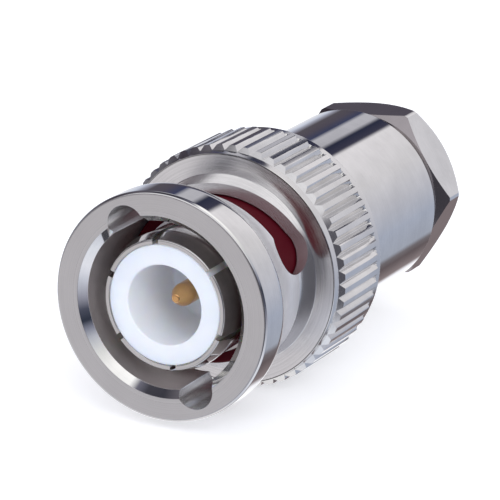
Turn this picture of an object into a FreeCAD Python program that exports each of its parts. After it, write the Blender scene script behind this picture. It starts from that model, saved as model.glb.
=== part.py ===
"""Clamp-type coaxial bayonet plug, lying with its axis along Y and its mating end towards -Y.

Lengths are in millimetres. Stations along the axis are measured from the front face of the
coupling nut, and angles round it run from +X towards +Z.
"""
import FreeCAD, Part
import math
import os

# Clearances
running_clearance = 0.08
seat_clearance = 0.02
spring_clearance = 0.01
screw_clearance = 0.05

# Mating interface
socket_wall_space = 0.78
lead_in_rise = 0.42
lead_in_depth = 0.49
contact_front = 0.49
contact_shank_radius = 4.12
contact_finger_drop = 0.16
contact_bulge_drop = 0.06
contact_tip_drop = 0.32
contact_bulge_setback = 1.00
contact_bulge_length = 2.40
contact_wall = 0.60
contact_slot_count = 6
contact_slot_width = 0.38
contact_slot_length = 4.20
contact_slot_angle = 38.4
recess_radius = 2.33
recess_depth = 5.20
pin_radius = 0.67
pin_setback = 1.30
pin_tip_length = 0.75
pin_tip_radius = 0.24

# Outside of the coupling nut
ring_wall = 1.80
ring_length = 2.10
ring_edge_chamfer = 0.20
ring_shoulder_rounding = 1.40
taper_length = 2.50
waist_wall = 0.60
waist_length = 1.75
waist_rounding = 3.00
neck_rise = 0.20
neck_length = 1.65
bevel_length = 0.40
bevel_rise = 0.07
bevel_drop = 0.30
knurl_chamfer_length = 0.22
knurl_depth = 0.28
knurl_root_wall = 0.59
knurl_count = 54
knurl_gap_share = 0.42
knurl_run_out = 0.45
knurl_margin = 0.15
rim_length = 0.70
rim_drop = 0.17
rim_step_length = 0.15

# Bayonet slots and their entry notches
slot_start_angle = 115.4
slot_sweep = 89.1
slot_lead = 6.70
slot_width = 2.40
slot_setback = 0.28
entry_radius = 1.18
entry_centre_offset = 0.05
detent_radius = 1.50
detent_advance = 0.24

# Spring stack inside the nut
web_length = 1.25
body_flange_length = 1.10
spring_thickness = 0.20
spring_height = 0.955
spring_wave_count = 3
spacer_thickness = 0.30
thrust_washer_thickness = 0.50
washer_width = 0.65
lip_length = 0.50
lip_clearance = 0.23

# Body
body_radius = 5.57
body_edge_chamfer = 0.08
hub_length = 0.95
contact_seat_depth = 1.35
dielectric_length = 4.40
thread_wall = 0.92
thread_lead_in = 0.25

# Gasket round the contact
gasket_length = 3.30
gasket_clearance = 0.12
gasket_chamfer = 0.15

# Pin barrel
collar_radius = 1.30
collar_length = 0.70
barrel_radius = 0.95
barrel_overhang = 0.60
cup_radius = 0.50
cup_depth = 3.00

# Cable clamp
cable_bore_share = 0.57
dielectric_bore_radius = 1.75
clamp_reach = 2.20
clamp_flange_length = 1.00
clamp_flange_chamfer = 0.35
clamp_sleeve_drop = 0.87
clamp_edge_drop = 0.40
clamp_edge_length = 0.50
clamp_jacket_length = 1.10
cable_gasket_length = 2.00
cable_gasket_groove = 0.50
slip_washer_thickness = 0.60
engaged_thread_length = 3.00
clamp_thread_chamfer = 0.30
clamp_nut_gap = 1.40
hex_across_flats = 10.00
hex_length = 3.20
hex_angle = 2.0
hex_corner_trim = 0.06
hex_front_chamfer = 0.50
hex_rear_chamfer = 1.40
hex_rear_land = 0.30
cable_mouth_flare = 0.45

# Stations along the axis
taper_end = ring_length + taper_length
waist_end = taper_end + waist_length
nut_flange_front = waist_end + neck_length
bevel_rear = nut_flange_front + bevel_length
knurl_front = bevel_rear + knurl_chamfer_length
cavity_front = nut_flange_front + web_length
body_flange_rear = cavity_front + body_flange_length
spring_pitch = spring_height + 2 * spring_clearance
spacer_front = body_flange_rear + spring_pitch
thrust_washer_front = spacer_front + spacer_thickness + spring_pitch
lip_front = thrust_washer_front + thrust_washer_thickness
nut_rear = lip_front + lip_length
knurl_rear = nut_rear - rim_length
hub_front = cavity_front - hub_length
gasket_front = hub_front - gasket_length
contact_shank_front = gasket_front - seat_clearance
contact_rear = cavity_front + contact_seat_depth
bore_shoulder = contact_rear + dielectric_length
pin_tip = contact_front + pin_setback
pin_rear = bore_shoulder + barrel_overhang
cable_gasket_front = bore_shoulder + clamp_reach
cable_gasket_rear = cable_gasket_front + cable_gasket_length
clamp_rear = cable_gasket_front + cable_gasket_groove - seat_clearance
slip_washer_front = cable_gasket_rear + clamp_nut_gap
clamp_nut_front = slip_washer_front + slip_washer_thickness
body_rear = clamp_nut_front + engaged_thread_length
hex_front = body_rear + clamp_nut_gap
hex_rear = hex_front + hex_length
slot_start = taper_end + slot_setback

# Radii that follow from the ones above
nut_bore_radius = contact_shank_radius + socket_wall_space
lead_in_radius = nut_bore_radius + lead_in_rise
contact_finger_radius = contact_shank_radius - contact_finger_drop
contact_bulge_radius = contact_shank_radius - contact_bulge_drop
contact_tip_radius = contact_shank_radius - contact_tip_drop
ring_radius = nut_bore_radius + ring_wall
waist_radius = nut_bore_radius + waist_wall
neck_radius = waist_radius + neck_rise
washer_inner_radius = body_radius + running_clearance
washer_outer_radius = washer_inner_radius + washer_width
cavity_radius = washer_outer_radius + running_clearance
knurl_radius = cavity_radius + knurl_root_wall + knurl_depth
bevel_radius = knurl_radius - bevel_drop
flange_edge_radius = bevel_radius - bevel_rise
rim_radius = knurl_radius - rim_drop
lip_radius = body_radius + lip_clearance
hub_radius = nut_bore_radius - running_clearance
contact_bore_radius = contact_shank_radius - contact_wall
dielectric_radius = contact_bore_radius - seat_clearance
pin_bore_radius = pin_radius + seat_clearance
barrel_bore_radius = barrel_radius + seat_clearance
collar_seat_radius = collar_radius + seat_clearance
thread_radius = body_radius - thread_wall
clamp_thread_radius = thread_radius - screw_clearance
loose_piece_radius = thread_radius - running_clearance
cable_bore_radius = cable_bore_share * thread_radius
clamp_sleeve_radius = loose_piece_radius - clamp_sleeve_drop
clamp_edge_radius = clamp_sleeve_radius - clamp_edge_drop
hex_corner_radius = hex_across_flats / math.sqrt(3)

axis = FreeCAD.Vector(0, 1, 0)
overcut = 0.5


def polar(station, radius, angle):
    """Point at a radius and an angle in degrees round the axis."""
    turn = math.radians(angle)
    return FreeCAD.Vector(radius * math.cos(turn), station, radius * math.sin(turn))


def outline(corners):
    """Closed face of (station, radius) corners; a third value is the corner's rounding.

    A rounding is turned as two short cones along its arc.
    """
    points = [FreeCAD.Vector(corner[1], corner[0], 0) for corner in corners]
    path = []
    for index, point in enumerate(points):
        rounding = corners[index][2] if len(corners[index]) > 2 else 0
        if not rounding:
            path.append(point)
            continue
        before = (points[index - 1] - point).normalize()
        after = (points[(index + 1) % len(points)] - point).normalize()
        half = before.getAngle(after) / 2
        centre = point + (before + after).normalize() * (rounding / math.sin(half))
        start = point + before * (rounding / math.tan(half)) - centre
        end = point + after * (rounding / math.tan(half)) - centre
        turn = start.getAngle(end)
        for share in (0, 1 / 2, 1):
            spoke = start * math.sin((1 - share) * turn) + end * math.sin(share * turn)
            path.append(centre + spoke * (1 / math.sin(turn)))
    return Part.Face(Part.makePolygon(path + path[:1]))


def turned(corners):
    """Solid of revolution about the axis."""
    return outline(corners).revolve(FreeCAD.Vector(0, 0, 0), axis, 360)


def ring(front, rear, inner_radius, outer_radius):
    """Plain turned ring."""
    return turned([
        (front, inner_radius),
        (front, outer_radius),
        (rear, outer_radius),
        (rear, inner_radius),
    ])


def flat_sided(loops):
    """Solid bounded by flat faces, each given by its loop of points."""
    faces = [Part.Face(Part.makePolygon(loop + loop[:1])) for loop in loops]
    return Part.Solid(Part.Shell(faces))


def curve_through(points, closed):
    """Smooth edge through points."""
    curve = Part.BSplineCurve()
    curve.interpolate(Points=points, PeriodicFlag=closed)
    return curve.toShape()


def band(inner_radius, outer_radius, angles, front_of, rear_of, closed):
    """Solid band round the axis whose front and rear edges are stations given by the angle."""
    front_inner, front_outer, rear_outer, rear_inner = [
        curve_through([polar(edge_of(angle), radius, angle) for angle in angles], closed)
        for radius, edge_of in (
            (inner_radius, front_of),
            (outer_radius, front_of),
            (outer_radius, rear_of),
            (inner_radius, rear_of),
        )
    ]
    faces = [
        Part.makeRuledSurface(front_inner, front_outer),
        Part.makeRuledSurface(front_outer, rear_outer),
        Part.makeRuledSurface(rear_outer, rear_inner),
        Part.makeRuledSurface(rear_inner, front_inner),
    ]
    if not closed:
        for angle in (angles[0], angles[-1]):
            loop = [
                polar(front_of(angle), inner_radius, angle),
                polar(front_of(angle), outer_radius, angle),
                polar(rear_of(angle), outer_radius, angle),
                polar(rear_of(angle), inner_radius, angle),
            ]
            faces.append(Part.Face(Part.makePolygon(loop + loop[:1])))
    shell = Part.Shell(faces)
    shell.sewShape()
    solid = Part.Solid(shell)
    if solid.Volume < 0:
        solid.reverse()
    return solid


def radial_hole(station, radius, angle):
    """Cutter for a round hole through the nut's thin wall, square to the axis."""
    start = polar(station, nut_bore_radius - overcut, angle)
    length = ring_wall + 2 * overcut
    return Part.makeCylinder(radius, length, start, polar(0, 1, angle))


def bayonet_slot(start_angle):
    """Cutter for one slot: the notch from the front, the helical ramp and the round detent."""
    lead_per_degree = slot_lead / 360
    end_angle = start_angle - slot_sweep
    ramp_end = slot_start + slot_sweep * lead_per_degree
    notch_start = polar(-overcut, nut_bore_radius + entry_centre_offset, start_angle)
    notch = Part.makeCylinder(entry_radius, slot_start + overcut, notch_start, axis)

    def ramp(angle):
        return slot_start + (start_angle - angle) * lead_per_degree

    steps = 12
    angles = [start_angle - slot_sweep * step / steps for step in range(steps + 1)]
    channel = band(
        nut_bore_radius - overcut,
        ring_radius + overcut,
        angles,
        lambda angle: ramp(angle) - slot_width / 2,
        lambda angle: ramp(angle) + slot_width / 2,
        False,
    )
    start_hole = radial_hole(slot_start, slot_width / 2, start_angle)
    detent = radial_hole(ramp_end - detent_advance, detent_radius, end_angle)
    return [notch, channel, start_hole, detent]


def knurl_groove(angle):
    """Cutter for one groove, a V that runs out to a point before the rear rim."""
    front = nut_flange_front - overcut
    full_depth_end = knurl_rear - knurl_margin - knurl_run_out
    bottom_radius = knurl_radius - knurl_depth
    top_radius = knurl_radius + knurl_depth
    half_gap = 180 / knurl_count * knurl_gap_share
    spread = 2 * half_gap
    bottom_front = polar(front, bottom_radius, angle)
    left_front = polar(front, top_radius, angle - spread)
    right_front = polar(front, top_radius, angle + spread)
    bottom_rear = polar(full_depth_end, bottom_radius, angle)
    left_rear = polar(full_depth_end, top_radius, angle - spread)
    right_rear = polar(full_depth_end, top_radius, angle + spread)
    point_radius = top_radius * math.cos(math.radians(spread))
    point = polar(full_depth_end + 2 * knurl_run_out, point_radius, angle)
    return flat_sided([
        [bottom_front, left_front, right_front],
        [bottom_front, bottom_rear, left_rear, left_front],
        [bottom_front, right_front, right_rear, bottom_rear],
        [left_front, left_rear, right_rear, right_front],
        [bottom_rear, point, left_rear],
        [bottom_rear, right_rear, point],
        [left_rear, point, right_rear],
    ])


def coupling_nut():
    """Knurled bayonet nut with its rear edge rolled in over the thrust washer."""
    blank = turned([
        (0, lead_in_radius),
        (0, ring_radius - ring_edge_chamfer),
        (ring_edge_chamfer, ring_radius),
        (ring_length, ring_radius, ring_shoulder_rounding),
        (taper_end, waist_radius, waist_rounding),
        (waist_end, waist_radius),
        (nut_flange_front, neck_radius),
        (nut_flange_front, flange_edge_radius),
        (bevel_rear, bevel_radius),
        (knurl_front, knurl_radius),
        (knurl_rear, knurl_radius),
        (knurl_rear + rim_step_length, rim_radius),
        (nut_rear, rim_radius),
        (nut_rear, lip_radius),
        (lip_front, lip_radius),
        (lip_front, cavity_radius),
        (cavity_front, cavity_radius),
        (cavity_front, nut_bore_radius),
        (lead_in_depth, nut_bore_radius),
    ])
    nut = blank.cut([knurl_groove(360 / knurl_count * index) for index in range(knurl_count)])
    for cutter in bayonet_slot(slot_start_angle) + bayonet_slot(slot_start_angle - 180):
        nut = nut.cut(cutter)
    return nut


def spring_washer(front):
    """Thin wave washer that stands on its crests."""
    middle = front + spring_pitch / 2
    rise = (spring_height - spring_thickness) / 2
    steps = 12 * spring_wave_count

    def wave(angle):
        return middle + rise * math.cos(math.radians(spring_wave_count * angle))

    return band(
        washer_inner_radius,
        washer_outer_radius,
        [360 * step / steps for step in range(steps)],
        lambda angle: wave(angle) - spring_thickness / 2,
        lambda angle: wave(angle) + spring_thickness / 2,
        True,
    )


def front_spring_washer():
    return spring_washer(body_flange_rear)


def spacer_washer():
    rear = spacer_front + spacer_thickness
    return ring(spacer_front, rear, washer_inner_radius, washer_outer_radius)


def rear_spring_washer():
    return spring_washer(spacer_front + spacer_thickness)


def thrust_washer():
    return ring(thrust_washer_front, lip_front, washer_inner_radius, washer_outer_radius)


def body_shell():
    """Turned body: the hub and flange inside the nut, and the plain tube behind it."""
    return turned([
        (hub_front, contact_shank_radius),
        (hub_front, hub_radius),
        (cavity_front, hub_radius),
        (cavity_front, washer_outer_radius),
        (body_flange_rear, washer_outer_radius),
        (body_flange_rear, body_radius),
        (body_rear - body_edge_chamfer, body_radius),
        (body_rear, body_radius - body_edge_chamfer),
        (body_rear, thread_radius + thread_lead_in),
        (body_rear - thread_lead_in, thread_radius),
        (bore_shoulder, thread_radius),
        (bore_shoulder, contact_bore_radius),
        (contact_rear, contact_bore_radius),
        (contact_rear, contact_shank_radius),
    ])


def outer_contact():
    """Tube pressed into the hub, its front slotted into spring fingers."""
    tube = turned([
        (contact_front, contact_bore_radius),
        (contact_front, contact_tip_radius),
        (contact_front + contact_bulge_setback, contact_bulge_radius),
        (contact_front + contact_bulge_length, contact_finger_radius),
        (contact_shank_front, contact_finger_radius),
        (contact_shank_front, contact_shank_radius),
        (contact_rear, contact_shank_radius),
        (contact_rear, contact_bore_radius),
    ])
    length = contact_slot_length + overcut
    corner = FreeCAD.Vector(0, contact_front - overcut, -contact_slot_width / 2)
    slots = []
    for index in range(contact_slot_count):
        slot = Part.makeBox(contact_shank_radius + overcut, length, contact_slot_width, corner)
        angle = contact_slot_angle + 360 / contact_slot_count * index
        slot.rotate(FreeCAD.Vector(0, 0, 0), axis, -angle)
        slots.append(slot)
    return tube.cut(slots)


def front_insulator():
    """Plastic insulator with the recess that takes the socket's own insulator."""
    recess_bottom = contact_front + recess_depth
    collar_front = contact_rear - collar_length
    return turned([
        (contact_front, recess_radius),
        (contact_front, dielectric_radius),
        (contact_rear, dielectric_radius),
        (contact_rear, collar_seat_radius),
        (collar_front, collar_seat_radius),
        (collar_front, pin_bore_radius),
        (recess_bottom, pin_bore_radius),
        (recess_bottom, recess_radius),
    ])


def rear_insulator():
    return ring(contact_rear, bore_shoulder, barrel_bore_radius, dielectric_radius)


def centre_pin():
    """Gilt pin with its collar between the insulators and a solder cup at the rear."""
    collar_front = contact_rear - collar_length
    return turned([
        (pin_tip, 0),
        (pin_tip, pin_tip_radius),
        (pin_tip + pin_tip_length, pin_radius),
        (collar_front, pin_radius),
        (collar_front, collar_radius),
        (contact_rear, collar_radius),
        (contact_rear, barrel_radius),
        (pin_rear, barrel_radius),
        (pin_rear, cup_radius),
        (pin_rear - cup_depth, cup_radius),
        (pin_rear - cup_depth, 0),
    ])


def interface_gasket():
    """Rubber ring round the contact, against the front of the hub."""
    inner_radius = contact_shank_radius
    outer_radius = nut_bore_radius - gasket_clearance
    return turned([
        (gasket_front, inner_radius),
        (gasket_front, outer_radius - gasket_chamfer),
        (gasket_front + gasket_chamfer, outer_radius),
        (hub_front, outer_radius),
        (hub_front, inner_radius),
    ])


def braid_clamp():
    """Flanged ferrule whose rear edge bites into the cable gasket."""
    flange_rear = bore_shoulder + clamp_flange_length
    edge_start = clamp_rear - clamp_edge_length
    jacket_seat = clamp_rear - clamp_jacket_length
    return turned([
        (bore_shoulder, dielectric_bore_radius),
        (bore_shoulder, loose_piece_radius - clamp_flange_chamfer),
        (bore_shoulder + clamp_flange_chamfer, loose_piece_radius),
        (flange_rear, loose_piece_radius),
        (flange_rear, clamp_sleeve_radius),
        (edge_start, clamp_sleeve_radius),
        (clamp_rear, clamp_edge_radius),
        (jacket_seat, cable_bore_radius),
        (jacket_seat, dielectric_bore_radius),
    ])


def cable_gasket():
    """Rubber ring that grips the cable jacket, with a V groove in its front face."""
    half_groove = cable_gasket_groove * (clamp_sleeve_radius - clamp_edge_radius) / clamp_edge_length
    return turned([
        (cable_gasket_front, cable_bore_radius),
        (cable_gasket_front, clamp_edge_radius - half_groove),
        (cable_gasket_front + cable_gasket_groove, clamp_edge_radius),
        (cable_gasket_front, clamp_edge_radius + half_groove),
        (cable_gasket_front, loose_piece_radius),
        (cable_gasket_rear, loose_piece_radius),
        (cable_gasket_rear, cable_bore_radius),
    ])


def slip_washer():
    return ring(slip_washer_front, clamp_nut_front, cable_bore_radius, loose_piece_radius)


def clamp_nut():
    """Hexagon nut that screws into the body and squeezes the cable gasket."""
    corners = [polar(hex_front, hex_corner_radius, hex_angle + 60 * index) for index in range(6)]
    hexagon = Part.Face(Part.makePolygon(corners + corners[:1]))
    prism = hexagon.extrude(FreeCAD.Vector(0, hex_length, 0))
    trim_radius = hex_corner_radius - hex_corner_trim
    land_radius = hex_across_flats / 2
    envelope = turned([
        (hex_front, 0),
        (hex_front, land_radius),
        (hex_front + hex_front_chamfer, trim_radius),
        (hex_rear - hex_rear_chamfer, trim_radius),
        (hex_rear, land_radius - hex_rear_land),
        (hex_rear, 0),
    ])
    thread = turned([
        (clamp_nut_front, 0),
        (clamp_nut_front, clamp_thread_radius - clamp_thread_chamfer),
        (clamp_nut_front + clamp_thread_chamfer, clamp_thread_radius),
        (hex_front, clamp_thread_radius),
        (hex_front, 0),
    ])
    bore = turned([
        (clamp_nut_front - overcut, 0),
        (clamp_nut_front - overcut, cable_bore_radius),
        (hex_rear - cable_mouth_flare, cable_bore_radius),
        (hex_rear, cable_bore_radius + cable_mouth_flare),
        (hex_rear + overcut, cable_bore_radius + cable_mouth_flare),
        (hex_rear + overcut, 0),
    ])
    return prism.common(envelope).fuse(thread).cut(bore).removeSplitter()


pieces = [
    coupling_nut,
    front_spring_washer,
    spacer_washer,
    rear_spring_washer,
    thrust_washer,
    body_shell,
    outer_contact,
    front_insulator,
    rear_insulator,
    centre_pin,
    interface_gasket,
    braid_clamp,
    cable_gasket,
    slip_washer,
    clamp_nut,
]

os.makedirs("parts", exist_ok=True)
for piece in pieces:
    shape = piece()
    shape.exportStep(f"parts/{piece.__name__}.step")
    print(piece.__name__, len(shape.Solids), round(shape.Volume, 3), shape.isValid())
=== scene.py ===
"""Looks of a clamp-type coaxial bayonet plug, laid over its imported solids.

Lengths in the outlines are in millimetres, as (station along the axis, radius) measured from the
front face of the coupling nut. Angles round the axis run from +X towards +Z, in degrees.
"""
import bpy
import bmesh
import numpy as np
from math import ceil, cos, degrees, hypot, pi, radians, sin, tan
from bpy.props import FloatProperty, FloatVectorProperty, IntProperty, PointerProperty
from mathutils import Matrix, Vector


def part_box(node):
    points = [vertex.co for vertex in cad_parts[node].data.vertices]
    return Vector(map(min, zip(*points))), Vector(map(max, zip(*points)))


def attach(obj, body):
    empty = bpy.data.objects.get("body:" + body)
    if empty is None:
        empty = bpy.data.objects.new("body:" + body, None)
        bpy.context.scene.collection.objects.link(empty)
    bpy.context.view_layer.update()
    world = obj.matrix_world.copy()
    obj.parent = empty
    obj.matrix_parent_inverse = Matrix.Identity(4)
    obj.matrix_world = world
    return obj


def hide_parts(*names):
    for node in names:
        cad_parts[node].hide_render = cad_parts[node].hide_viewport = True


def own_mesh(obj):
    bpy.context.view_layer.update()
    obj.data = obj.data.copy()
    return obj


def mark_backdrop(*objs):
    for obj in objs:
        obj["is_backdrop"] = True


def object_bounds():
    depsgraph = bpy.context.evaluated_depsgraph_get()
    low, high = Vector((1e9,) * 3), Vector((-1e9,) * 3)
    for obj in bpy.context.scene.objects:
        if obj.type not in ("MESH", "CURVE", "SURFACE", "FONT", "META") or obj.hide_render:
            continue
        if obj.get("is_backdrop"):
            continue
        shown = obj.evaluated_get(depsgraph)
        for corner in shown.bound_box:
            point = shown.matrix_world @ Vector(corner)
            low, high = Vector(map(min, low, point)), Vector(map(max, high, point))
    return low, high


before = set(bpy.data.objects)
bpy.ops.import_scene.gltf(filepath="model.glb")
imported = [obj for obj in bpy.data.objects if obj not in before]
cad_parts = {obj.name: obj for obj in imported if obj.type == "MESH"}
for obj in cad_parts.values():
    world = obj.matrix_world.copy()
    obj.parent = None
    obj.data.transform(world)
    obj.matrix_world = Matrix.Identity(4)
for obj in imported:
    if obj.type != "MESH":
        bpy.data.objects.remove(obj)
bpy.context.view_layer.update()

bl_info = {
    "name": "Bayonet plug",
    "version": (1, 0, 0),
    "blender": (4, 5, 0),
    "location": "3D View > Sidebar > Bayonet plug",
    "description": "Builds the nut, body, contacts, seals and clamp nut of a coaxial bayonet plug",
    "category": "Object",
}

MM = 0.001
TURNED_STEPS = 288
# Least radius, in millimetres, of a point that doesn't lie on the axis.
OFF_AXIS = 1e-6
# Least length, in millimetres, of a line between two rounded corners.
SHORTEST_LINE = 1e-7
# Most degrees of a rounded corner in one facet.
ARC_STEP = 12
# Most of a line that one rounded corner may take up.
CORNER_SHARE = 0.45
# Half of a corner's angle, in degrees, from which on it counts as straight.
STRAIGHT = 89.5
# Points of a mesh are welded where they are this close, in metres.
WELD_DISTANCE = 1e-8


def node_box_mm(name):
    """Front station, rear station and outer radius of a turned CAD node, in millimetres."""
    low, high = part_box(name)
    return low[1] / MM, high[1] / MM, high[0] / MM


NUT_FRONT, NUT_REAR, KNURL_RADIUS = node_box_mm("coupling_nut")
HUB_FRONT, BODY_REAR, BODY_FLANGE_RADIUS = node_box_mm("body_shell")
CLAMP_FRONT, CLAMP_REAR, HEX_CORNER_RADIUS = node_box_mm("clamp_nut")
CONTACT_FRONT, CONTACT_REAR, CONTACT_RADIUS = node_box_mm("outer_contact")
GASKET_FRONT, GASKET_REAR, GASKET_RADIUS = node_box_mm("interface_gasket")
PIN_TIP, PIN_REAR, COLLAR_RADIUS = node_box_mm("centre_pin")
INSULATOR_FRONT, INSULATOR_REAR, INSULATOR_RADIUS = node_box_mm("front_insulator")


class PlugSizes(bpy.types.PropertyGroup):
    """Sizes of the visible details, in millimetres and degrees."""
    ring_radius: FloatProperty(
        name="Front ring radius", description="Plain ring at the nut's front", default=6.70)
    ring_length: FloatProperty(
        name="Front ring length", description="Station where the taper starts", default=2.10)
    waist_radius: FloatProperty(
        name="Waist radius", description="Thin waist that the slots are cut in", default=5.50)
    bore_radius: FloatProperty(
        name="Nut bore radius", description="Bore that the socket enters", default=4.90)
    flange_front: FloatProperty(
        name="Knurl flange station", description="Front face of the knurled flange", default=8.00)
    knurl_count: IntProperty(
        name="Knurl ribs", description="Ribs round the nut", default=54, min=12, max=120)
    knurl_depth: FloatProperty(
        name="Knurl depth", description="Depth of the grooves between the ribs", default=0.28)
    slot_width: FloatProperty(
        name="Bayonet slot width", description="Width of the helical slots", default=2.40)
    slot_start_angle: FloatProperty(
        name="Slot start", description="Angle of the first entry notch", default=115.4)
    slot_sweep: FloatProperty(
        name="Slot sweep", description="Angle from the notch to the detent", default=89.1)
    hex_across_flats: FloatProperty(
        name="Hexagon across flats", description="Spanner size of the clamp nut", default=10.0)
    thread_pitch: FloatProperty(
        name="Clamp thread pitch", description="Advance of one thread turn", default=0.794)


# What the colours in the panel share.
COLOUR = dict(subtype="COLOR", size=3, min=0, max=1)


class PlugColours(bpy.types.PropertyGroup):
    """Colours of the finishes."""
    nickel: FloatVectorProperty(
        name="Nickel plate", description="Bright plating of the turned pieces",
        default=(0.72, 0.71, 0.70), **COLOUR)
    insulator: FloatVectorProperty(
        name="Insulator", description="White fluoropolymer",
        default=(0.905, 0.935, 0.995), **COLOUR)
    gilt: FloatVectorProperty(
        name="Gilt pin", description="Gold plating of the pin",
        default=(0.85, 0.49, 0.21), **COLOUR)
    gasket: FloatVectorProperty(
        name="Gasket", description="Dark red silicone rubber",
        default=(0.085, 0.003, 0.009), **COLOUR)


def polar(station, radius, angle):
    """Point in metres at a station, radius and angle given in millimetres and degrees."""
    turn = radians(angle)
    return Vector((radius * cos(turn), station, radius * sin(turn))) * MM


def scene_object(name, data):
    """Object in the scene that holds a mesh, a lamp or a camera."""
    piece = bpy.data.objects.new(name, data)
    bpy.context.scene.collection.objects.link(piece)
    return piece


def from_bmesh(name, built):
    """Mesh object from a bmesh, which is used up."""
    data = bpy.data.meshes.new(name)
    built.to_mesh(data)
    built.free()
    return scene_object(name, data)


def swung(first, last, turn, share):
    """Sum of two directions, the turn apart, that points a share of the way between them."""
    return first * sin((1 - share) * turn) + last * sin(share * turn)


class Outline:
    """Closed meridian of a turned piece, as segments with the true normals at their ends.

    Each corner is given as a station, a radius and, unless it is sharp, that of its rounding.
    """

    def __init__(self, corners):
        count = len(corners)
        flat = [Vector(corner[:2]) for corner in corners]
        area = sum(flat[i - 1].cross(flat[i]) for i in range(count))
        self.side = 1 if area > 0 else -1
        arcs = [
            self.rounded(flat[index - 1], point, flat[(index + 1) % count], *corners[index][2:])
            for index, point in enumerate(flat)
        ]
        self.segments = []
        for index, arc in enumerate(arcs):
            following = arcs[(index + 1) % count][0]
            normals = self.arc_normals(arc, arcs[index - 1][-1], following)
            for step in range(len(arc) - 1):
                self.segments.append((arc[step], arc[step + 1], normals[step], normals[step + 1]))
            line = following - arc[-1]
            if line.length > SHORTEST_LINE:
                normal = self.outward(line)
                self.segments.append((arc[-1], following, normal, normal))

    @staticmethod
    def rounded(previous, point, following, rounding=0.0):
        """Points of the arc that rounds a corner, or the corner alone where it stays sharp."""
        before, after = previous - point, following - point
        half = before.angle(after) / 2
        if rounding <= 0 or half > radians(STRAIGHT):
            return [point]
        reach = min(rounding / tan(half), CORNER_SHARE * min(before.length, after.length))
        rounding = reach * tan(half)
        bisector = (before.normalized() + after.normalized()).normalized()
        centre = point + bisector * (rounding / sin(half))
        start = point + before.normalized() * reach - centre
        end = point + after.normalized() * reach - centre
        turn = start.angle(end)
        steps = max(2, ceil(degrees(turn) / ARC_STEP))
        return [
            centre + swung(start, end, turn, step / steps) / sin(turn)
            for step in range(steps + 1)
        ]

    def outward(self, line):
        """Normal of a line of the outline, away from the metal."""
        return Vector((line.y, -line.x)).normalized() * self.side

    def arc_normals(self, arc, before, after):
        """Normals along an arc, from that of the line before it to that of the line after it."""
        if len(arc) == 1:
            return [None]
        first = self.outward(arc[0] - before)
        last = self.outward(after - arc[-1])
        turn = first.angle(last)
        steps = len(arc) - 1
        return [swung(first, last, turn, step / steps).normalized() for step in range(steps + 1)]

    def mesh(self, name, steps=TURNED_STEPS):
        """Mesh object turned round the axis from this outline."""
        built = bmesh.new()
        rings = []
        for start, *_ in self.segments:
            around = 1 if start.y < OFF_AXIS else steps
            rings.append([
                built.verts.new(polar(start.x, start.y, 360 * step / steps))
                for step in range(around)
            ])
        for index, ring in enumerate(rings):
            following = rings[(index + 1) % len(rings)]
            if len(ring) == 1 and len(following) == 1:
                continue
            for step in range(steps):
                ahead = (step + 1) % steps
                corners = [ring[step % len(ring)], ring[ahead % len(ring)],
                           following[ahead % len(following)], following[step % len(following)]]
                corners = list(dict.fromkeys(corners))
                if len(corners) > 2:
                    built.faces.new(corners)
        bmesh.ops.recalc_face_normals(built, faces=built.faces)
        return from_bmesh(name, built)


def unrolled(places):
    """Places in millimetres as station and radius, and their directions across the axis."""
    radius = np.hypot(places[:, 0], places[:, 2])
    spoke = places[:, [0, 2]] / np.maximum(radius, OFF_AXIS)[:, None]
    return np.stack([places[:, 1], radius], axis=1), spoke


def corner_normals(outline, owners, places):
    """Normals of face corners at places in millimetres, from the segment that owns each face."""
    here, spoke = unrolled(places)
    normals = np.zeros((len(places), 3))
    for index, (start, end, first, last) in enumerate(outline.segments):
        mine = owners == index
        if not mine.any():
            continue
        share = share_along(here[mine], start, end)[:, None]
        flat = (1 - share) * np.array(first) + share * np.array(last)
        flat /= np.linalg.norm(flat, axis=1)[:, None]
        normals[mine, 0] = flat[:, 1] * spoke[mine, 0]
        normals[mine, 1] = flat[:, 0]
        normals[mine, 2] = flat[:, 1] * spoke[mine, 1]
    return normals


def share_along(places, start, end):
    """How far along a segment the nearest point to each place lies, from 0 to 1."""
    along = np.array(end - start)
    return np.clip(((places - np.array(start)) @ along) / (along @ along), 0, 1)


def values_of(elements, name, width=1, kind=float):
    """One value of each of a mesh's elements, as an array with a row for each."""
    values = np.empty(len(elements) * width, dtype=kind)
    elements.foreach_get(name, values)
    return values if width == 1 else values.reshape(-1, width)


def smooth(data, angle):
    """Smooths a mesh but for edges sharper than an angle in degrees."""
    data.shade_smooth()
    data.set_sharp_from_angle(angle=radians(angle))


def shade(piece, outline, angle=32):
    """Gives the turned faces the outline's true normals and smooths the rest up to an angle.

    Returns which faces lie on no segment of the outline, because a cutter made them.
    """
    farthest, least_agreement = 0.035, 0.93
    data = piece.data
    smooth(data, angle)
    here, spoke = unrolled(values_of(data.polygons, "center", 3) / MM)
    facing = values_of(data.polygons, "normal", 3)
    outwards = (facing[:, [0, 2]] * spoke).sum(axis=1)
    flat_facing = np.stack([facing[:, 1], outwards], axis=1)
    best = np.full(len(here), farthest)
    owner = np.full(len(here), -1)
    for index, (start, end, first, last) in enumerate(outline.segments):
        nearest = share_along(here, start, end)[:, None] * np.array(end - start)
        gap = np.linalg.norm(here - np.array(start) - nearest, axis=1)
        middle = np.array((first + last).normalized())
        nearer = (gap < best) & ((flat_facing @ middle) > least_agreement)
        best[nearer] = gap[nearer]
        owner[nearer] = index
    corners = values_of(data.loops, "vertex_index", kind=int)
    totals = values_of(data.polygons, "loop_total", kind=int)
    places = values_of(data.vertices, "co", 3)[corners] / MM
    normals = corner_normals(outline, np.repeat(owner, totals), places)
    data.normals_split_custom_set(normals.tolist())
    data.update()
    return owner < 0


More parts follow.
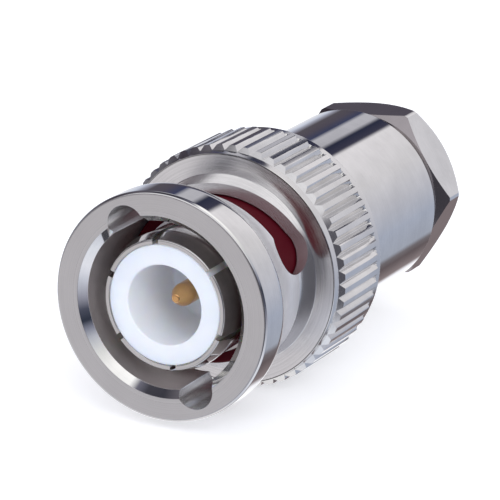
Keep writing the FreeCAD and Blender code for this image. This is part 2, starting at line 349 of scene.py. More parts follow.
def settle(piece):
    """Turns a piece's modifiers into plain mesh."""
    bpy.context.view_layer.update()
    graph = bpy.context.evaluated_depsgraph_get()
    data = bpy.data.meshes.new_from_object(
        piece.evaluated_get(graph), preserve_all_data_layers=True, depsgraph=graph)
    piece.modifiers.clear()
    piece.data = data


def cut(piece, cutter, operation="DIFFERENCE"):
    """Cuts a piece with another, which is used up."""
    modifier = piece.modifiers.new("cut", "BOOLEAN")
    modifier.operation = operation
    modifier.solver = "EXACT"
    modifier.object = cutter
    settle(piece)
    bpy.data.objects.remove(cutter)


def mesh_piece(name, vertices, faces):
    """Mesh object from points in metres, its faces turned outwards."""
    data = bpy.data.meshes.new(name)
    data.from_pydata(vertices, [], faces)
    built = bmesh.new()
    built.from_mesh(data)
    bpy.data.meshes.remove(data)
    bmesh.ops.remove_doubles(built, verts=built.verts, dist=WELD_DISTANCE)
    bmesh.ops.recalc_face_normals(built, faces=built.faces)
    return from_bmesh(name, built)


def band(first, second, width):
    """Faces between two rows of as many points, whose indices start at first and second."""
    return [
        [first + side, first + (side + 1) % width, second + (side + 1) % width, second + side]
        for side in range(width)
    ]


def cylinder_between(name, start, end, radius):
    """Cutter cylinder between two points in metres, its radius in millimetres."""
    line = end - start
    turn = line.to_track_quat("Z", "Y").to_matrix().to_4x4()
    built = bmesh.new()
    bmesh.ops.create_cone(
        built, cap_ends=True, segments=64, radius1=radius * MM, radius2=radius * MM,
        depth=line.length, matrix=Matrix.Translation((start + end) / 2) @ turn)
    return from_bmesh(name, built)


def finished(piece, body, slot, *nodes):
    """Hands a finished piece to its body and hides the solids it stands for; slot isn't used."""
    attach(piece, body)
    if nodes:
        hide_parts(*nodes)


def feed(tree, made, *ordered, **named):
    """Sets a node's properties and inputs, or links outputs to its inputs, in order or by name."""
    pairs = list(zip(made.inputs, ordered))
    for key, value in named.items():
        if hasattr(made, key):
            setattr(made, key, value)
        else:
            pairs.append((made.inputs[key.replace("_", " ")], value))
    for entry, value in pairs:
        if isinstance(value, bpy.types.NodeSocket):
            tree.links.new(value, entry)
        else:
            entry.default_value = value


def node(tree, kind, *ordered, **named):
    """Outputs of a new node."""
    made = tree.nodes.new(kind)
    feed(tree, made, *ordered, **named)
    return made.outputs


def maths(tree, operation, *values, clamp=False):
    """Output of a math node on numbers and sockets."""
    return node(tree, "ShaderNodeMath", *values, operation=operation, use_clamp=clamp)[0]


def ramp(tree, value, stops):
    """Colour ramp through stops, each a place and its colour."""
    made = tree.nodes.new("ShaderNodeValToRGB")
    feed(tree, made, Fac=value)
    elements = made.color_ramp.elements
    while len(elements) < len(stops):
        elements.new(0.5)
    for element, (place, *colour) in zip(elements, stops):
        element.position = place
        element.color = (*colour, 1)
    return made.outputs["Color"]


def turned_coordinates(tree, place):
    """Vector of station and radius, so that a pattern on it runs round the axis like tool marks."""
    split = node(tree, "ShaderNodeSeparateXYZ", Vector=place)
    across = maths(tree, "MULTIPLY", split["X"], split["X"])
    up = maths(tree, "MULTIPLY", split["Z"], split["Z"])
    radius = maths(tree, "SQRT", maths(tree, "ADD", across, up))
    return node(tree, "ShaderNodeCombineXYZ", X=split["Y"], Y=radius)["Vector"]


def new_material(name):
    """Material with its node tree, its shader and the place on the piece."""
    material = bpy.data.materials.new(name)
    material.use_nodes = True
    tree = material.node_tree
    place = node(tree, "ShaderNodeTexCoord")["Object"]
    return material, tree, tree.nodes["Principled BSDF"], place


def noise(tree, vector, scale, detail, roughness=0.5):
    """Grey noise on a vector."""
    return node(tree, "ShaderNodeTexNoise",
                Vector=vector, Scale=scale, Detail=detail, Roughness=roughness)["Fac"]


def set_surface(tree, shader, tint, pattern, roughness, spread, depth, distance):
    """Colours a shader and gives it uneven gloss and a fine relief from one pattern."""
    uneven = maths(tree, "MULTIPLY_ADD", pattern, spread, roughness - spread / 2)
    bump = node(tree, "ShaderNodeBump", Height=pattern, Strength=depth, Distance=distance)
    feed(tree, shader, Base_Color=tint, Roughness=uneven, Normal=bump["Normal"])


def turned_metal(name, colour, roughness, spread, marks, metallic=1.0, streak=0.25, lift=1.0):
    """Plated turned metal: rings of fine tool marks, faint stains and uneven gloss."""
    mark_scale, stain_scale, mark_height, darkest = 9000.0, 420.0, 2e-6, 0.88
    material, tree, shader, place = new_material(name)
    feed(tree, shader, Metallic=metallic)
    rings = noise(tree, turned_coordinates(tree, place), mark_scale, 3.0, 0.6)
    stains = noise(tree, place, stain_scale, 4.0, 0.55)
    streaks = maths(
        tree, "MULTIPLY_ADD", rings, streak, maths(tree, "MULTIPLY", stains, 1 - streak))
    tint = ramp(tree, streaks, [
        (0.38, *(c * lift * darkest for c in colour)),
        (0.60, *(c * lift for c in colour)),
    ])
    set_surface(tree, shader, tint, rings, roughness, spread, marks, mark_height)
    return material


def moulded(name, colour, roughness, grain, depth, scatter=0.0, specular=0.5):
    """Moulded or turned plastic and rubber with a fine grain."""
    cloud_scale, gloss_spread, grain_height, darkest = 350.0, 0.12, 4e-6, 0.94
    material, tree, shader, place = new_material(name)
    clouds = noise(tree, place, cloud_scale, 2.0)
    tint = ramp(tree, clouds, [(0.35, *(c * darkest for c in colour)), (0.65, *colour)])
    feed(tree, shader, Specular_IOR_Level=specular, Subsurface_Weight=scatter,
         Subsurface_Radius=(1.5, 1.0, 0.5), Subsurface_Scale=0.0012)
    grains = noise(tree, place, grain, 3.0, 0.6)
    set_surface(tree, shader, tint, grains, roughness, gloss_spread, depth, grain_height)
    return material


# The colour of a finish is given here, or named where it stands in the panel, or else is nickel.
METALS = {
    "bright_nickel": dict(roughness=0.035, spread=0.03, marks=0.05),
    "satin_nickel": dict(roughness=0.3, spread=0.16, marks=0.6, streak=0.75, lift=1.06),
    "brushed_nickel": dict(roughness=0.16, spread=0.12, marks=0.45, streak=0.5),
    "knurl_nickel": dict(roughness=0.13, spread=0.06, marks=0.1),
    "milled_nickel": dict(
        colour=(0.86, 0.86, 0.87), roughness=0.24, spread=0.03, marks=0.02, metallic=0.84),
    "bored_nickel": dict(
        colour=(0.92, 0.86, 0.85), roughness=0.3, spread=0.14, marks=0.4, metallic=0.8),
    "neck_nickel": dict(
        colour=(0.9, 0.89, 0.88), roughness=0.16, spread=0.12, marks=0.45, streak=0.5),
    "face_nickel": dict(
        colour=(0.9, 0.89, 0.88), roughness=0.2, spread=0.12, marks=0.5, streak=0.75),
    # Darker copy of the nickel for the clamp nut's forward faces: painted shade in the gap behind
    # the body.
    "dull_nickel": dict(colour=(0.37, 0.34, 0.345), roughness=0.16, spread=0.08, marks=0.3),
    "matt_nickel": dict(
        colour=(0.86, 0.85, 0.86), roughness=0.38, spread=0.14, marks=0.4, metallic=0.62),
    "gilt": dict(colour="gilt", roughness=0.09, spread=0.04, marks=0.1),
    "spring_bronze": dict(colour=(0.55, 0.36, 0.2), roughness=0.3, spread=0.1, marks=0.2),
}
SOFT_MATERIALS = {
    "white_insulator": dict(
        colour="insulator", roughness=0.38, grain=9000.0, depth=0.1, scatter=0.4),
    "red_silicone": dict(colour="gasket", roughness=0.62, grain=6000.0, depth=0.2, specular=0.12),
    "black_rubber": dict(colour=(0.02, 0.02, 0.022), roughness=0.55, grain=7000.0, depth=0.3),
}
FINISHES = {}


def finish_named(name):
    """Material of a finish, made once."""
    if name not in FINISHES:
        maker, recipes = (turned_metal, METALS) if name in METALS else (moulded, SOFT_MATERIALS)
        values = {"colour": "nickel", **recipes[name]}
        if isinstance(values["colour"], str):
            values["colour"] = tuple(getattr(bpy.context.scene.plug_colours, values["colour"]))
        FINISHES[name] = maker(name, **values)
    return FINISHES[name]


def dress(piece, name, *others):
    """Gives a piece a finish, and others to the faces that each one's test picks.

    A test takes a face's centre in millimetres and the face.
    """
    data = piece.data
    data.materials.clear()
    for index, (finish, picks) in enumerate([(name, lambda place, face: True), *others]):
        data.materials.append(finish_named(finish))
        for face in data.polygons:
            if picks(face.center / MM, face):
                face.material_index = index


def turned_piece(name, corners, finish, body, slot, *nodes, steps=TURNED_STEPS):
    """Makes, dresses and hands over a piece turned from the corners of its outline."""
    outline = Outline(corners)
    piece = outline.mesh(name, steps)
    shade(piece, outline)
    dress(piece, finish)
    finished(piece, body, slot, *nodes)


def slot_station(start_angle, angle):
    """Station of the middle of a bayonet slot at an angle."""
    first_station, advance_per_turn = 4.88, 6.70
    return first_station + (start_angle - angle) * advance_per_turn / 360


def slot_channel(sizes, start_angle, inner, outer):
    """Cutter for the helical part of one bayonet slot."""
    steps = 72
    half = sizes.slot_width / 2
    vertices = []
    faces = [[0, 1, 2, 3]]
    for step in range(steps + 1):
        angle = start_angle - sizes.slot_sweep * step / steps
        middle = slot_station(start_angle, angle)
        vertices += [
            polar(middle - half, inner, angle),
            polar(middle - half, outer, angle),
            polar(middle + half, outer, angle),
            polar(middle + half, inner, angle),
        ]
        if step:
            faces += band(4 * (step - 1), 4 * step, 4)
    faces.append([4 * steps + side for side in (3, 2, 1, 0)])
    return mesh_piece("slot_channel", vertices, faces)


def bayonet_cutters(sizes, start_angle):
    """The four cutters of one bayonet slot, its round start a little wider than the channel."""
    entry_radius, detent_radius, detent_advance, overshoot = 1.18, 1.50, 0.24, 0.5
    start_radius = sizes.slot_width / 2 + 0.002
    end_angle = start_angle - sizes.slot_sweep
    first = slot_station(start_angle, start_angle)
    last = slot_station(start_angle, end_angle) - detent_advance
    inner, outer = sizes.bore_radius - overshoot, sizes.ring_radius + overshoot
    entry_centre = sizes.bore_radius + 0.05
    yield cylinder_between("entry_notch", polar(-overshoot, entry_centre, start_angle),
                           polar(first, entry_centre, start_angle), entry_radius)
    yield slot_channel(sizes, start_angle, inner, outer)
    yield cylinder_between("slot_start", polar(first, inner, start_angle),
                           polar(first, outer, start_angle), start_radius)
    yield cylinder_between("detent", polar(last, inner, end_angle),
                           polar(last, outer, end_angle), detent_radius)


def nut_outline(sizes):
    """Meridian of the coupling nut without its knurled sleeve."""
    waist_start, waist_end, neck_radius = 4.60, 6.35, 5.70
    bevel_start_radius, sleeve_radius = 6.88, 6.78
    rim_front, rim_radius = 13.05, 7.08
    cavity_front, cavity_radius, lip_front, lip_radius = 9.25, 6.38, 13.10, 5.80
    return Outline([
        (0.49, sizes.bore_radius, 0.06),
        (0.0, 5.32, 0.04),
        (0.0, sizes.ring_radius, 0.20),
        (sizes.ring_length, sizes.ring_radius, 1.6),
        (waist_start, sizes.waist_radius, 3.2),
        (waist_end, sizes.waist_radius, 0.02),
        (sizes.flange_front, neck_radius, 0.03),
        (sizes.flange_front, bevel_start_radius, 0.02),
        (sizes.flange_front + 0.12, sleeve_radius),
        (rim_front, sleeve_radius),
        (rim_front, rim_radius),
        (NUT_REAR, rim_radius, 0.10),
        (NUT_REAR, lip_radius, 0.05),
        (lip_front, lip_radius),
        (lip_front, cavity_radius),
        (cavity_front, cavity_radius),
        (cavity_front, sizes.bore_radius),
    ])


def knurl_strip(sizes):
    """One rib and half a groove on each side of it, from the flange's edge to the rear rim."""
    pitch = 360 / sizes.knurl_count
    top = KNURL_RADIUS
    root = top - sizes.knurl_depth
    bevel_radius, edge_radius = top - 0.30, 6.88
    front = sizes.flange_front
    bevel_rear, chamfer_rear = front + 0.40, front + 0.62
    knurl_rear, rim_front, rim_radius, sleeve_radius = 12.90, 13.05, 7.08, 6.80
    half, groove_share = pitch / 2, 0.66
    groove_half = half * groove_share
    fillet_share, shoulder_share = 0.12, 0.82
    columns = []
    for share in (0.0, 0.07, fillet_share, 0.5, shoulder_share, 0.95, 1.0):
        rise = share
        if share < fillet_share:
            rise = fillet_share / 2 + share * share / (2 * fillet_share)
        if share > shoulder_share:
            rise = share - (share - shoulder_share) ** 2 / (2 * (1 - shoulder_share))
        columns.append((share * groove_half, rise))
    floor_rise, peak_rise = columns[0][1], columns[-1][1]
    columns = [(angle, (rise - floor_rise) / (peak_rise - floor_rise)) for angle, rise in columns]
    columns += [(groove_half + share * (half - groove_half), 1.0) for share in (0.25, 0.6, 1.0)]
    both = sorted([(-angle, rise) for angle, rise in columns] + columns[1:])
    vertices = []
    for angle, rise in both:
        height = root + rise * sizes.knurl_depth
        climb = (height - bevel_radius) / (top - bevel_radius)
        meets = bevel_rear + climb * (chamfer_rear - bevel_rear)
        profile = [
            (front, edge_radius - 0.02),
            (front + 0.02, edge_radius),
            (bevel_rear, bevel_radius),
            (meets, height),
            (meets + 0.03, height),
            (knurl_rear - 0.02, height),
            (knurl_rear + 0.01, height - 0.02 * rise),
            (rim_front, rim_radius),
            (rim_front, sleeve_radius),
            (front, sleeve_radius),
        ]
        vertices += [polar(station, radius, angle) for station, radius in profile]
    rows = len(profile)
    faces = [
        face
        for column in range(len(both) - 1)
        for face in band(column * rows, (column + 1) * rows, rows)
    ]
    return mesh_piece("knurl_strip", vertices, faces)


def ring_of_copies(name, source, count, material):
    """Geometry nodes that set copies of a strip round the axis and weld them into one ring."""
    tree = bpy.data.node_groups.new(name, "GeometryNodeTree")
    tree.is_modifier = True
    tree.interface.new_socket("Geometry", in_out="INPUT", socket_type="NodeSocketGeometry")
    settings = (
        ("Ribs", "NodeSocketInt", count),
        ("Strip", "NodeSocketObject", source),
        ("Weld distance", "NodeSocketFloat", 10 * WELD_DISTANCE),
        ("Finish", "NodeSocketMaterial", material),
    )
    sockets = [
        tree.interface.new_socket(label, in_out="INPUT", socket_type=kind)
        for label, kind, _ in settings
    ]
    tree.interface.new_socket("Geometry", in_out="OUTPUT", socket_type="NodeSocketGeometry")
    entry = node(tree, "NodeGroupInput")
    index = node(tree, "GeometryNodeInputIndex")["Index"]
    share = maths(tree, "DIVIDE", index, entry["Ribs"])
    turn = maths(tree, "MULTIPLY", share, -2 * pi)
    points = node(tree, "GeometryNodePoints", Count=entry["Ribs"])["Points"]
    strip = node(tree, "GeometryNodeObjectInfo", Object=entry["Strip"])["Geometry"]
    angles = node(tree, "ShaderNodeCombineXYZ", Y=turn)["Vector"]
    spread = node(tree, "GeometryNodeInstanceOnPoints",
                  Points=points, Instance=strip, Rotation=angles)["Instances"]
    real = node(tree, "GeometryNodeRealizeInstances", Geometry=spread)["Geometry"]
    weld = node(tree, "GeometryNodeMergeByDistance",
                Geometry=real, Distance=entry["Weld distance"])["Geometry"]
    paint = node(tree, "GeometryNodeSetMaterial", Geometry=weld, Material=entry["Finish"])
    node(tree, "NodeGroupOutput", Geometry=paint["Geometry"])
    piece = scene_object(name, bpy.data.meshes.new(name))
    modifier = piece.modifiers.new("ring", "NODES")
    modifier.node_group = tree
    for socket, (_, _, value) in zip(sockets, settings):
        modifier[socket.identifier] = value
    settle(piece)
    bpy.data.objects.remove(source)
    return piece


def weighted(piece):
    """Smooths a faceted piece, its large faces kept flat."""
    smooth(piece.data, angle=28)
    modifier = piece.modifiers.new("weighted", "WEIGHTED_NORMAL")
    modifier.keep_sharp = True
    settle(piece)


class PLUG_OT_coupling_nut(bpy.types.Operator):
    """Builds the bayonet nut: the turned and slotted shell and its knurled sleeve."""
    bl_idname = "plug.coupling_nut"
    bl_label = "Coupling nut"

    def execute(self, context):
        sizes = context.scene.plug_sizes
        outline = nut_outline(sizes)
        shell = outline.mesh("coupling_nut_shell")
        for start_angle in (sizes.slot_start_angle, sizes.slot_start_angle - 180):
            for cutter in bayonet_cutters(sizes, start_angle):
                cut(shell, cutter)
        milled = shade(shell, outline)
        taper_front, taper_rear, neck_rear = 2.3, 6.34, sizes.flange_front + 0.02
        edge_rear, lead_in_rear, flange_face = 0.05, 0.45, sizes.flange_front - 0.1
        out_radius, in_radius = sizes.waist_radius - 0.05, sizes.bore_radius + 0.05

        def faces_front(face):
            return face.normal.y < -0.9

        def outside(place, front, rear):
            return front < place.y < rear and hypot(place.x, place.z) > out_radius

        def inside(place):
            return place.y > lead_in_rear and hypot(place.x, place.z) < in_radius

        dress(
            shell, "bright_nickel",
            ("satin_nickel", lambda place, face: place.y < edge_rear and faces_front(face)),
            ("neck_nickel", lambda place, face: outside(place, taper_rear, neck_rear)),
            ("face_nickel",
             lambda place, face: flange_face < place.y < neck_rear and faces_front(face)),
            ("matt_nickel", lambda place, face: outside(place, taper_front, taper_rear)),
            ("bored_nickel", lambda place, face: inside(place)),
            ("milled_nickel", lambda place, face: milled[face.index]),
        )
        finished(shell, "nut", "nickel_plate", "coupling_nut")
        sleeve = ring_of_copies("knurled_sleeve", knurl_strip(sizes), sizes.knurl_count,
                                finish_named("knurl_nickel"))
        weighted(sleeve)
        finished(sleeve, "nut", "nickel_plate")
        return {"FINISHED"}


class PLUG_OT_body(bpy.types.Operator):
    """Builds the turned body with its plain rear tube."""
    bl_idname = "plug.body"
    bl_label = "Body"

    def execute(self, context):
        hub_radius, body_radius, thread_radius, seat_radius, bore_radius = (
            4.82, 5.57, 4.65, 4.12, 3.52)
        cavity_front, flange_rear, shoulder, chamfer = 9.25, 10.35, 15.0, 0.25
        turned_piece("body_tube", [
            (HUB_FRONT, seat_radius),
            (HUB_FRONT, hub_radius, 0.05),
            (cavity_front, hub_radius),
            (cavity_front, BODY_FLANGE_RADIUS, 0.05),
            (flange_rear, BODY_FLANGE_RADIUS, 0.05),
            (flange_rear, body_radius),
            (BODY_REAR, body_radius, 0.05),
            (BODY_REAR, thread_radius + chamfer, 0.02),
            (BODY_REAR - chamfer, thread_radius),
            (shoulder, thread_radius),
            (shoulder, bore_radius),
            (CONTACT_REAR, bore_radius),
            (CONTACT_REAR, seat_radius),
        ], "bright_nickel", "plug_body", "nickel_plate", "body_shell")
        return {"FINISHED"}


class PLUG_OT_contact(bpy.types.Operator):
    """Builds the slotted outer contact round the insulator."""
    bl_idname = "plug.contact"
    bl_label = "Outer contact"

    def execute(self, context):
        bore_radius, tip_radius, bulge_radius, finger_radius = 3.52, 3.80, 4.06, 3.96
        slot_count, slot_width, slot_length, slot_angle = 6, 0.38, 4.20, 38.4
        bulge, waist, finger_rear = CONTACT_FRONT + 1.0, CONTACT_FRONT + 2.4, GASKET_FRONT - 0.02
        outline = Outline([
            (CONTACT_FRONT, bore_radius, 0.05),
            (CONTACT_FRONT, tip_radius, 0.12),
            (bulge, bulge_radius, 1.2),
            (waist, finger_radius, 1.2),
            (finger_rear, finger_radius),
            (finger_rear, CONTACT_RADIUS),
            (CONTACT_REAR, CONTACT_RADIUS),
            (CONTACT_REAR, bore_radius),
        ])
        contact = outline.mesh("contact_fingers")
        overshoot, slot_middle, slot_reach = 0.5, 4.0, 2.0
        length = slot_length + overshoot
        middle = Vector((slot_middle, CONTACT_FRONT - overshoot + length / 2, 0)) * MM
        size = Matrix.Diagonal((slot_reach * MM, length * MM, slot_width * MM, 1))
        for index in range(slot_count):
            turn = Matrix.Rotation(-radians(slot_angle + 360 / slot_count * index), 4, "Y")
            built = bmesh.new()
            bmesh.ops.create_cube(built, size=1, matrix=turn @ Matrix.Translation(middle) @ size)
            cut(contact, from_bmesh("finger_slot", built))
        shade(contact, outline)
        tip_rear = CONTACT_FRONT + 0.9
        dress(contact, "bright_nickel", ("brushed_nickel", lambda place, face: place.y > tip_rear))
        finished(contact, "plug_body", "nickel_plate", "outer_contact")
        return {"FINISHED"}


class PLUG_OT_insulator(bpy.types.Operator):
    """Builds the white insulator with its deep recess."""
    bl_idname = "plug.insulator"
    bl_label = "Front insulator"

    def execute(self, context):
        recess_radius, recess_bottom, pin_bore = 2.33, 5.69, 0.69
        collar_front, collar_seat = 9.90, 1.32
        turned_piece("insulator_front", [
            (INSULATOR_FRONT, recess_radius, 0.10),
            (INSULATOR_FRONT, INSULATOR_RADIUS, 0.08),
            (INSULATOR_REAR, INSULATOR_RADIUS),
            (INSULATOR_REAR, collar_seat),
            (collar_front, collar_seat),
            (collar_front, pin_bore),
            (recess_bottom, pin_bore, 0.05),
            (recess_bottom, recess_radius, 0.15),
        ], "white_insulator", "plug_body", "white_insulator", "front_insulator")
        return {"FINISHED"}


class PLUG_OT_pin(bpy.types.Operator):
    """Builds the gilt centre pin."""
    bl_idname = "plug.pin"
    bl_label = "Centre pin"

    def execute(self, context):
        pin_radius, barrel_radius, cup_radius, cup_depth = 0.67, 0.95, 0.50, 3.0
        collar_front, collar_rear, tip_radius, taper = 9.90, 10.60, 0.24, 0.75
        turned_piece("pin_gilt", [
            (PIN_TIP, 0.0),
            (PIN_TIP, tip_radius, 0.16),
            (PIN_TIP + taper, pin_radius, 0.9),
            (collar_front, pin_radius),
            (collar_front, COLLAR_RADIUS, 0.03),
            (collar_rear, COLLAR_RADIUS, 0.03),
            (collar_rear, barrel_radius),
            (PIN_REAR, barrel_radius, 0.03),
            (PIN_REAR, cup_radius, 0.03),
            (PIN_REAR - cup_depth, cup_radius),
            (PIN_REAR - cup_depth, 0.0),
        ], "gilt", "plug_body", "gilt", "centre_pin", steps=96)
        return {"FINISHED"}


class PLUG_OT_gasket(bpy.types.Operator):
    """Builds the red rubber ring round the contact."""
    bl_idname = "plug.gasket"
    bl_label = "Interface gasket"

    def execute(self, context):
        turned_piece("gasket_ring", [
            (GASKET_FRONT, CONTACT_RADIUS, 0.12),
            (GASKET_FRONT, GASKET_RADIUS, 0.22),
            (GASKET_REAR, GASKET_RADIUS, 0.12),
            (GASKET_REAR, CONTACT_RADIUS),
        ], "red_silicone", "plug_body", "red_silicone", "interface_gasket")
        return {"FINISHED"}


def thread_ridge(pitch, front, rear, root_radius, crest_radius):
    """Helical V ridge of the clamp nut's thread, which fades out at both ends."""
    steps_per_turn, sunk, fading_turns = 96, 0.12, 1 / 3
    foot_radius = root_radius - sunk
    steps = int(((rear - front) / pitch - 1) * steps_per_turn)
    section = ((-0.47, foot_radius), (-0.42, root_radius), (-0.07, crest_radius),
               (0.07, crest_radius), (0.42, root_radius), (0.47, foot_radius))
    width = len(section)
    vertices = []
    faces = []
    for step in range(steps + 1):
        angle = -360 * step / steps_per_turn
        middle = front + pitch * (0.5 + step / steps_per_turn)
        fade = min(1.0, min(step, steps - step) / (steps_per_turn * fading_turns))
        for offset, radius in section:
            height = foot_radius + (radius - foot_radius) * fade
            vertices.append(polar(middle + offset * pitch, height, angle))
        if step:
            faces += band(width * (step - 1), width * step, width)
    faces += [list(range(width)), [width * steps + side for side in reversed(range(width))]]
    return mesh_piece("clamp_thread", vertices, faces)


def hexagon_prism(apothem, corner, first_angle, front, rear):
    """Prism with narrow flats in place of its six edges."""
    edge_angle, edge_drop = 0.7, 0.02
    edges = []
    for side in range(6):
        for shift in (-edge_angle, 0, edge_angle):
            reach = apothem / cos(radians(30 - abs(shift)))
            edges.append((60 * side + first_angle + shift, min(reach, corner - edge_drop)))
    count = len(edges)
    vertices = [
        polar(station, radius, angle) for station in (front, rear) for angle, radius in edges
    ]
    caps = [list(range(count)), list(range(2 * count - 1, count - 1, -1))]
    return mesh_piece("hexagon_prism", vertices, band(0, count, count) + caps)


class PLUG_OT_clamp_nut(bpy.types.Operator):
    """Builds the hexagon clamp nut with its threaded neck."""
    bl_idname = "plug.clamp_nut"
    bl_label = "Clamp nut"

    def execute(self, context):
        sizes = context.scene.plug_sizes
        neck_root, neck_crest, bore_radius = 4.24, 4.60, 2.65
        hex_front, front_chamfer, rear_chamfer, rear_land = 25.60, 0.50, 1.40, 0.30
        flare, hex_angle = 0.45, 2.0
        apothem = sizes.hex_across_flats / 2
        corner = apothem / cos(radians(30))
        trim_radius = corner - 0.06
        outline = Outline([
            (hex_front, bore_radius),
            (hex_front, apothem - 0.02, 0.03),
            (hex_front + front_chamfer, trim_radius, 0.03),
            (CLAMP_REAR - rear_chamfer, trim_radius, 0.03),
            (CLAMP_REAR, apothem - rear_land, 0.05),
            (CLAMP_REAR, bore_radius + flare, 0.04),
            (CLAMP_REAR - flare, bore_radius, 0.04),
        ])
        hexagon = outline.mesh("clamp_hexagon")
        prism = hexagon_prism(apothem, corner, hex_angle, hex_front - 1, CLAMP_REAR + 1)
        cut(hexagon, prism, "INTERSECT")
        shade(hexagon, outline, angle=20)
        # Faces that look forward, in the gap behind the body, take the darker nickel: painted
        # shade.
        dress(hexagon, "bright_nickel", ("dull_nickel", lambda place, face: face.normal.y < -0.5))
        finished(hexagon, "clamp", "nickel_plate", "clamp_nut")
        turned_piece("clamp_neck", [
            (CLAMP_FRONT, bore_radius),
            (CLAMP_FRONT, neck_root - 0.1, 0.05),
            (CLAMP_FRONT + 0.3, neck_root),
            (hex_front + 0.1, neck_root),
            (hex_front + 0.1, bore_radius),
        ], "bright_nickel", "clamp", "nickel_plate")
        thread = thread_ridge(
            sizes.thread_pitch, CLAMP_FRONT + 0.1, hex_front - 0.1, neck_root, neck_crest)
        weighted(thread)
        dress(thread, "bright_nickel")
        finished(thread, "clamp", "nickel_plate")
        return {"FINISHED"}


def wave_ring(name, front, rear, inner, outer):
    """Thin spring washer waved three times round between two stations."""
    waves, thickness, steps = 3, 0.20, 180
    middle, rise = (front + rear) / 2, (rear - front - thickness) / 2
    vertices = []
    faces = []
    for step in range(steps):
        angle = 360 * step / steps
        wave = middle + rise * cos(radians(waves * angle))
        for side, radius in ((-0.5, inner), (-0.5, outer), (0.5, outer), (0.5, inner)):
            vertices.append(polar(wave + side * thickness, radius, angle))
        faces += band(4 * step, 4 * ((step + 1) % steps), 4)
    return mesh_piece(name, vertices, faces)


class PLUG_OT_spring_washers(bpy.types.Operator):
    """Builds the two wave washers as at rest; real ones flatten as the nut is drawn forward."""
    bl_idname = "plug.spring_washers"
    bl_label = "Spring washers"

    def execute(self, context):
        inner_radius = 5.67
        flange_rear, spacer_rear, drawn_share = 10.35, 11.625, 0.424
        for name, solid, body, anchor in (
            ("wave_spring_front", "front_spring_washer", "plug_body", flange_rear),
            ("wave_spring_rear", "rear_spring_washer", "spring_spacer", spacer_rear),
        ):
            front, rear, outer_radius = node_box_mm(solid)
            washer = wave_ring(name, front, rear, inner_radius, outer_radius)
            weighted(washer)
            dress(washer, "spring_bronze")
            finished(washer, body, "spring_bronze", solid)
            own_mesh(washer)
        return {"FINISHED"}


class PLUG_OT_inner_pieces(bpy.types.Operator):
    """Gives the solids held inside the plug their finishes."""
    bl_idname = "plug.inner_pieces"
    bl_label = "Inner pieces"

    def execute(self, context):
        finishes = {
            "spacer_washer": "brushed_nickel",
            "thrust_washer": "brushed_nickel",
            "rear_insulator": "white_insulator",
            "braid_clamp": "bright_nickel",
            "cable_gasket": "black_rubber",
            "slip_washer": "brushed_nickel",
        }
        for name, finish in finishes.items():
            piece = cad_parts[name]
            if not piece.material_slots:
                piece.data.materials.append(None)
            for slot in piece.material_slots:
                slot.material = finish_named(finish)
        return {"FINISHED"}


# Light that the mirroring metal sees at each angle round the axis: from straight across it, and
# from across it and a little in front.
STUDIO_CARDS = (
    (-180, 0.66, 0.71, 0.84), (-165, 0.86, 0.87, 0.92), (-125, 1.25, 1.26, 1.3),
    (-110, 1.1, 1.1, 1.16), (-101, 0.3, 0.25, 0.26), (-78, 0.16, 0.13, 0.14),
    (-69, 0.22, 0.2, 0.22), (-62, 0.46, 0.5, 0.6), (-30, 0.5, 0.55, 0.68), (5, 0.7, 0.71, 0.79),
    (40, 0.87, 0.86, 0.9), (91, 1.0, 0.98, 1.02), (96, 0.06, 0.06, 0.1), (109, 0.03, 0.035, 0.07),
    (115, 0.58, 0.58, 0.64), (129, 0.6, 0.6, 0.66), (135, 0.06, 0.07, 0.14), (148, 0.1, 0.09, 0.12),
    (163, 0.11, 0.1, 0.12), (173, 0.4, 0.41, 0.5), (180, 0.66, 0.71, 0.84),
)
SIDE_CARDS = (
    (-180, 0.3, 0.3, 0.34), (-140, 0.9, 0.9, 0.94), (-90, 1.05, 1.05, 1.08),
    (-77, 0.82, 0.86, 0.98), (-63, 1.02, 1.07, 1.18), (-48, 1.08, 1.11, 1.22),
    (-33, 0.76, 0.8, 0.92), (-15, 0.38, 0.39, 0.48), (-4, 0.1, 0.11, 0.16), (8, 0.04, 0.05, 0.08),
    (16, 0.3, 0.32, 0.42), (26, 0.64, 0.67, 0.76), (44, 0.96, 0.98, 0.98), (63, 1.38, 1.38, 1.38),
    (86, 1.34, 1.35, 1.36), (94, 0.2, 0.2, 0.26), (104, 0.07, 0.07, 0.09), (120, 0.06, 0.06, 0.08),
    (134, 0.17, 0.16, 0.19), (150, 0.06, 0.05, 0.07), (180, 0.3, 0.3, 0.34),
)
# Light that comes from in front of the plug, by height from straight below to straight above.
FRONT_LIGHT = (
    (0.0, 0.42, 0.43, 0.5), (0.22, 0.44, 0.45, 0.52), (0.34, 0.68, 0.66, 0.69),
    (0.4, 0.68, 0.66, 0.69), (0.5, 0.2, 0.18, 0.2), (0.64, 0.2, 0.19, 0.22), (0.7, 1.05, 1.05, 1.1),
    (0.88, 1.0, 1.0, 1.05), (0.93, 0.1, 0.1, 0.14), (1.0, 0.2, 0.2, 0.25),
)
DARK_CARD_DIRECTION = (0.58, -0.76, -0.2)
DARK_CARD_COLOUR = (0.12, 0.12, 0.145, 1)
SOFT_LIGHT = (0.67, 0.68, 0.73, 1)
WHITE = (1, 1, 1, 1)
# Name, place, size, energy and colour of the lamps, which only light what doesn't mirror.
LAMPS = (
    ("key_lamp", (0.4, -0.42, 0.34), 0.4, 1.8, (0.97, 0.98, 1.0)),
    ("fill_lamp", (-0.45, -0.3, 0.3), 0.4, 0.45, (0.97, 0.98, 1.0)),
    ("rear_lamp", (0.1, 0.6, 0.45), 0.5, 0.7, (1.0, 1.0, 1.0)),
)
LAMPS_AIM = Vector((0, 0.012, 0))
CAMERA_PLACE = (0.0908, -0.1609, 0.0615)
CAMERA_TILT = 72.53
CAMERA_TURN = 27.88
CAMERA_LENS = 252


def ring_ramp(tree, share, cards):
    """Colour ramp round the axis through cards, each an angle and its colour."""
    return ramp(tree, share, [((angle + 180) / 360, *colour) for angle, *colour in cards])


